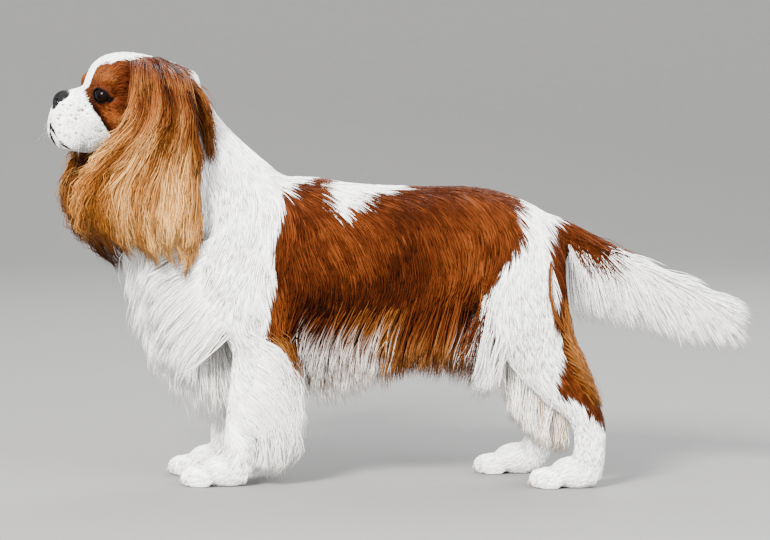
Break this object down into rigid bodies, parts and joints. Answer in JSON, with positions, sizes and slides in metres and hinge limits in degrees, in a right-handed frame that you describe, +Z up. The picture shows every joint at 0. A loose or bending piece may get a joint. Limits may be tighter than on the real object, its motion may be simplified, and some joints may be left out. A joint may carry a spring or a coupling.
{
  "type": "cavalier king charles spaniel",
  "caption": "Life-size model of a cavalier king charles spaniel standing four-square, with feathered ears, chest, legs and tail.",
  "frame": {"origin": "on the floor, under the middle of the overall box", "axes": "+X from the nose towards the tail, +Y to the dog's right side, +Z up"},
  "size_m": [0.7308, 0.1937, 0.4482],
  "materials": {
    "coat_white": "silky hair",
    "coat_chestnut": "silky hair",
    "coat_golden": "silky hair",
    "eye_dark": "polished",
    "nose_leather": "satin, moist"
  },
  "bodies": {
    "root": {"head": "coat_white", "nose": "nose_leather", "eye_left": "eye_dark", "eye_right": "eye_dark", "ear_left": "coat_golden", "ear_right": "coat_golden", "neck": "coat_white", "chest": "coat_white", "torso": "coat_chestnut", "tail": "coat_white", "foreleg_left": "coat_white", "foreleg_right": "coat_white", "forepaw_left": "coat_white", "forepaw_right": "coat_white", "thigh_left": "coat_white", "thigh_right": "coat_white", "hindpaw_left": "coat_white", "hindpaw_right": "coat_white"}
  },
  "joints": []
}
